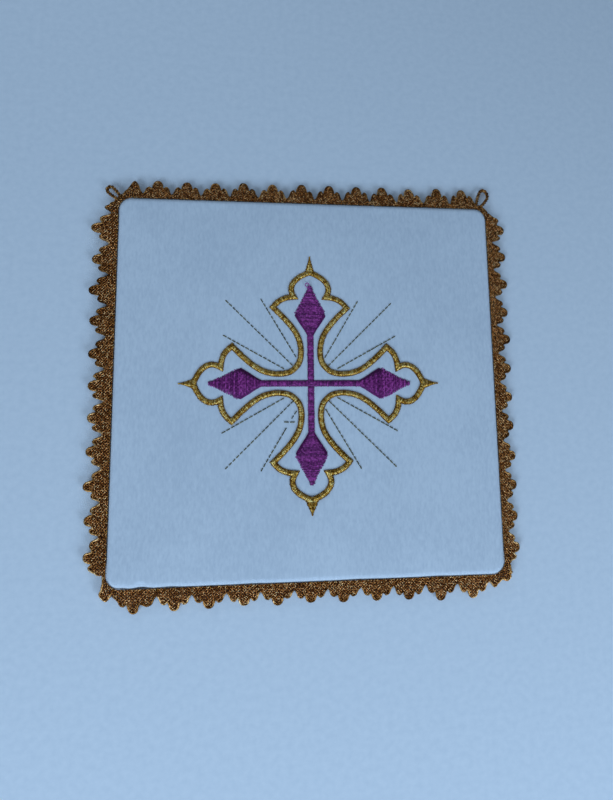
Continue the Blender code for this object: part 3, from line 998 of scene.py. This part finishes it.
FILL_RISE = 0.66 * MM
UPRIGHT_LIFT = 0.14 * MM
FILL_STITCH = 2.3 * MM
FILL_STEP = 0.45 * MM
LEAST_FILL_STEPS = 4
LONGEST_SINGLE = 1.3 * FILL_STITCH
HOLE_MARGIN = 0.7 * MM
STAGGERED_ROWS = 4
FARTHEST_HOLE = 4
FILL_DIP = 0.24 * MM
DIP_FLATNESS = 0.5
FILL_EDGE_SHARE = 0.9
FILL_FLATNESS = 0.8
PURPLE_RADIUS = 0.22 * MM
# How uneven the purple rows are: their ends and slant (mm), and their holes and thickness
LOW_ENDS = (-0.22, 0.15)
HIGH_ENDS = (-0.15, 0.22)
ROW_SLANTS = (-0.12, 0.12)
HOLE_SHIFTS = (-0.06, 0.06)
PURPLE_RADII = (0.92, 1.12)


def row_holes(low, high, row, uneven):
    """Where the needle goes in across a row: at both ends and at staggered places between."""
    holes = [low]
    if high - low > LONGEST_SINGLE:
        stagger = (row % STAGGERED_ROWS) / STAGGERED_ROWS + uneven.uniform(*HOLE_SHIFTS)
        for step in range(-FARTHEST_HOLE, FARTHEST_HOLE + 1):
            hole = FILL_STITCH * stagger + FILL_STITCH * step
            if low + HOLE_MARGIN < hole < high - HOLE_MARGIN:
                holes.append(hole)
    return [*holes, high]


def make_purple_stitches():
    """Rows of stitches across each arm of the purple cross, with staggered holes and ragged ends."""
    uneven = random.Random(UNEVENNESS_SEED + 4)
    stitches = Threads(sides=6)
    rows = round(PURPLE_ARM[0][0] * MM / PURPLE_PITCH)
    half_widths = np.array(PURPLE_ARM[::-1]).T * MM
    for arm in (0, 2, 1, 3):
        top = FILL_RISE - THREAD_RADIUS + (UPRIGHT_LIFT if arm % 2 else 0.0)
        for row in range(rows + 1):
            along = row * PURPLE_PITCH
            half = np.interp(along, *half_widths)
            low = -half + uneven.uniform(*LOW_ENDS) * MM
            high = half + uneven.uniform(*HIGH_ENDS) * MM
            slant = uneven.uniform(*ROW_SLANTS) * MM
            holes = row_holes(low, high, row, uneven)
            route = []
            for start, end in zip(holes, holes[1:]):
                count = max(LEAST_FILL_STEPS, round((end - start) / FILL_STEP))
                for share in np.arange(count) / count:
                    across = start + (end - start) * share
                    edge_share = min(1.0, min(across - low, high - across) / half / FILL_EDGE_SHARE)
                    swell = math.sin(QUARTER_TURN * edge_share) ** FILL_FLATNESS
                    dip = FILL_DIP * (1 - math.sin(math.pi * share) ** DIP_FLATNESS)
                    dip *= start > low or share > 0
                    lean = slant * (2 * (across - low) / (high - low) - 1)
                    x, y = on_arm((along + lean, across), arm, 1)
                    route.append((x, y, NEEDLE_HOLE + (top + NEEDLE_DEPTH) * swell - dip))
            route.append((*on_arm((along + slant, high), arm, 1), NEEDLE_HOLE))
            stitches.add(route, PURPLE_RADIUS * uneven.uniform(*PURPLE_RADII), uneven.random())
    add_loose_loop(stitches)
    finish = thread_finish("purple_thread_satin")
    piece = stitches.build("purple_satin_stitches", finish)
    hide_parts("embroidery_purple_cross")


# The loop of thread left at the cross's top tip: x, y and height over the cloth (mm)
LOOSE_LOOP = (
    (-0.4, 38.2, 0.4), (-1.3, 38.7, 0.8), (-1.8, 39.6, 0.9),
    (-1.2, 40.3, 0.9), (-0.4, 39.8, 0.8), (-0.1, 38.8, 0.5),
)
LOOSE_LOOP_RADIUS = 0.17 * MM
LOOSE_LOOP_STEPS = 8
LOOSE_LOOP_TINT = 0.9


def add_loose_loop(stitches):
    """The loop of thread that stands up at the tip of the top arm."""
    knots = [(x * MM, y * MM, PANEL_TOP + height * MM) for x, y, height in LOOSE_LOOP]
    route = smooth_line(knots, LOOSE_LOOP_STEPS, True)
    stitches.add(route, LOOSE_LOOP_RADIUS, LOOSE_LOOP_TINT)


# The padding's lower and upper outlines. Columns: size as a share of the cross's, height (m).
PADDING_LAYERS = ((0.97, NEEDLE_HOLE), (0.95, PANEL_TOP + 0.25 * MM))


def make_purple_padding():
    """The flat layer of thread under the purple stitches."""
    edge = []
    half = [(along * MM, width * MM) for along, width in PURPLE_ARM[:-1]]
    bar = PURPLE_ARM[-1][1] * MM
    for arm in range(4):
        edge.extend(on_arm(point, arm, -1) for point in reversed(half))
        edge.extend(on_arm(point, arm, 1) for point in half)
        edge.append(on_arm((bar, bar), arm, 1))
    count = len(edge)
    points = []
    for scale, height in PADDING_LAYERS:
        points.extend((x * scale, y * scale, height) for x, y in edge)
    faces = [list(range(count))[::-1], list(range(count, 2 * count))]
    for index in range(count):
        following = (index + 1) % count
        faces.append((index, following, count + following, count + index))
    finish = thread_finish("purple_thread_satin")
    piece = add_piece("purple_padding", points, faces, finish)
    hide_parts("embroidery_purple_cross")


DASH = 1.76 * MM
DASH_PITCH = 1.95 * MM
DASH_RISE = 0.16 * MM
DASH_POINTS = 8
DASH_FLATNESS = 0.4
RAY_THREAD_RADIUS = 0.22 * MM
# How uneven the rays are: where each starts (mm), and the lengths of their dashes
RAY_STARTS = (0, 0.5)
DASH_LENGTHS = (0.88, 1.08)

# One ray jogs where its thread was crossed: where it goes on, and the stitches before that (mm)
JOGGED_RAY_START = (-9.4, -16.9)
JOG_STITCHES = (
    ((-5.6, -10.7), (-6.5, -12.1)),
    ((-6.8, -12.5), (-7.6, -13.8)),
    ((-10.6, -15.0), (-8.6, -15.1)),
    ((-8.3, -15.1), (-6.3, -15.1)),
)


def add_dash(stitches, start, end, uneven):
    route = arch(start, end, DASH_RISE, DASH_POINTS, DASH_FLATNESS)
    stitches.add(route, RAY_THREAD_RADIUS, uneven.random())


def make_rays():
    """Running-stitch rays between the arms, the same in each quarter but for their unevenness."""
    uneven = random.Random(UNEVENNESS_SEED + 5)
    stitches = Threads(sides=6)
    for mirror in ((1, 1), (1, -1), (-1, 1), (-1, -1)):
        for start_x, start_y, *end in RAYS:
            start = np.array((start_x, start_y)) * mirror * MM
            end = np.array(end) * mirror * MM
            if mirror == (-1, -1) and start_x < start_y:
                start = np.array(JOGGED_RAY_START) * MM
            length = np.linalg.norm(end - start)
            way = (end - start) / length
            travel = uneven.uniform(*RAY_STARTS) * MM
            while travel + DASH < length:
                dash = DASH * uneven.uniform(*DASH_LENGTHS)
                add_dash(stitches, start + way * travel, start + way * (travel + dash), uneven)
                travel += DASH_PITCH
    for low, high in JOG_STITCHES:
        add_dash(stitches, np.array(low) * MM, np.array(high) * MM, uneven)
    stitches.build("gold_running_stitches", thread_finish("gold_thread_running"))


# Floor, light and camera

FLOOR_HALF = 1.5
FLOOR_CORNERS = ((-1, -1), (1, -1), (1, 1), (-1, 1))
FLOOR_HEIGHT = -0.05 * MM
FLOOR_FLECKS = 400.0
FLOOR_COLOURS = ((0.3, (0.9, 0.91, 0.92)), (0.7, (0.97, 0.97, 0.97)))
LIGHT_TINT = (0.49, 0.71, 1.0)
WORLD_STRENGTH = 0.22
# The lights. Columns: place and width (m), and power (W).
LIGHTS = (
    ("key", (0.4, -0.46, 0.36), 0.34, 1.75),
    ("low_fill", (-0.34, -0.52, 0.42), 0.4, 2.4),
    ("top_glow", (-0.16, 0.36, 0.22), 0.16, 0.13),
)
CAMERA_PLACE = (-10.5 * MM, -30.0 * MM, 197.8 * MM)
CAMERA_TURNS = (6.924, -5.557, -0.998)
LENS_MM = 22.5
SENSOR_MM = 36.0
CAMERA_SHIFT = (-0.0335, 0.00075)
NEAREST_SEEN = 0.005


def make_floor():
    """A plain pale floor."""
    mesh = bpy.data.meshes.new("floor")
    corners = [(x * FLOOR_HALF, y * FLOOR_HALF, FLOOR_HEIGHT) for x, y in FLOOR_CORNERS]
    mesh.from_pydata(corners, [], [(0, 1, 2, 3)])
    floor = add_object("floor", mesh)
    paper = Finish("floor_paper", Roughness=0.9)
    fibres = paper.speckle(FLOOR_FLECKS, FINE_DETAIL)
    paper.join(paper.ramp(fibres, FLOOR_COLOURS), "Base Color")
    mesh.materials.append(paper.material)


def light_scene():
    """Soft lights that face the middle of the pall, and a dim even glow all round."""
    for name, place, size, power in LIGHTS:
        data = bpy.data.lights.new(name, "AREA")
        data.shape = "DISK"
        data.size = size
        data.energy = power
        data.color = LIGHT_TINT
        light = add_object(name, data)
        light.location = place
        light.rotation_euler = (-Vector(place)).to_track_quat("-Z", "Y").to_euler()
    world = bpy.data.worlds.new("studio")
    world.use_nodes = True
    background = world.node_tree.nodes["Background"]
    background.inputs["Color"].default_value = (*LIGHT_TINT, 1)
    background.inputs["Strength"].default_value = WORLD_STRENGTH
    bpy.context.scene.world = world


def place_camera():
    data = bpy.data.cameras.new("camera")
    data.lens = LENS_MM
    data.sensor_width = SENSOR_MM
    data.shift_x, data.shift_y = CAMERA_SHIFT
    data.clip_start = NEAREST_SEEN
    camera = add_object("camera", data)
    camera.location = CAMERA_PLACE
    camera.rotation_euler = tuple(math.radians(turn) for turn in CAMERA_TURNS)
    bpy.context.scene.camera = camera


def main():
    place_camera()
    light_scene()
    make_floor()
    line = whole_outline()
    make_cloth(np.array(line))
    scallops = lay_out_scallops()
    ground = make_lace_ground(scallops)
    on_ground = [make_lace_rim(scallops), *make_lace_grains(scallops)]
    on_ground.extend((make_corner_loops(scallops), make_whip_stitches()))
    make_gold_stitches(line)
    make_purple_padding()
    make_purple_stitches()
    make_rays()
    bpy.context.scene.view_settings.view_transform = "Standard"


main()
bpy.context.view_layer.update()
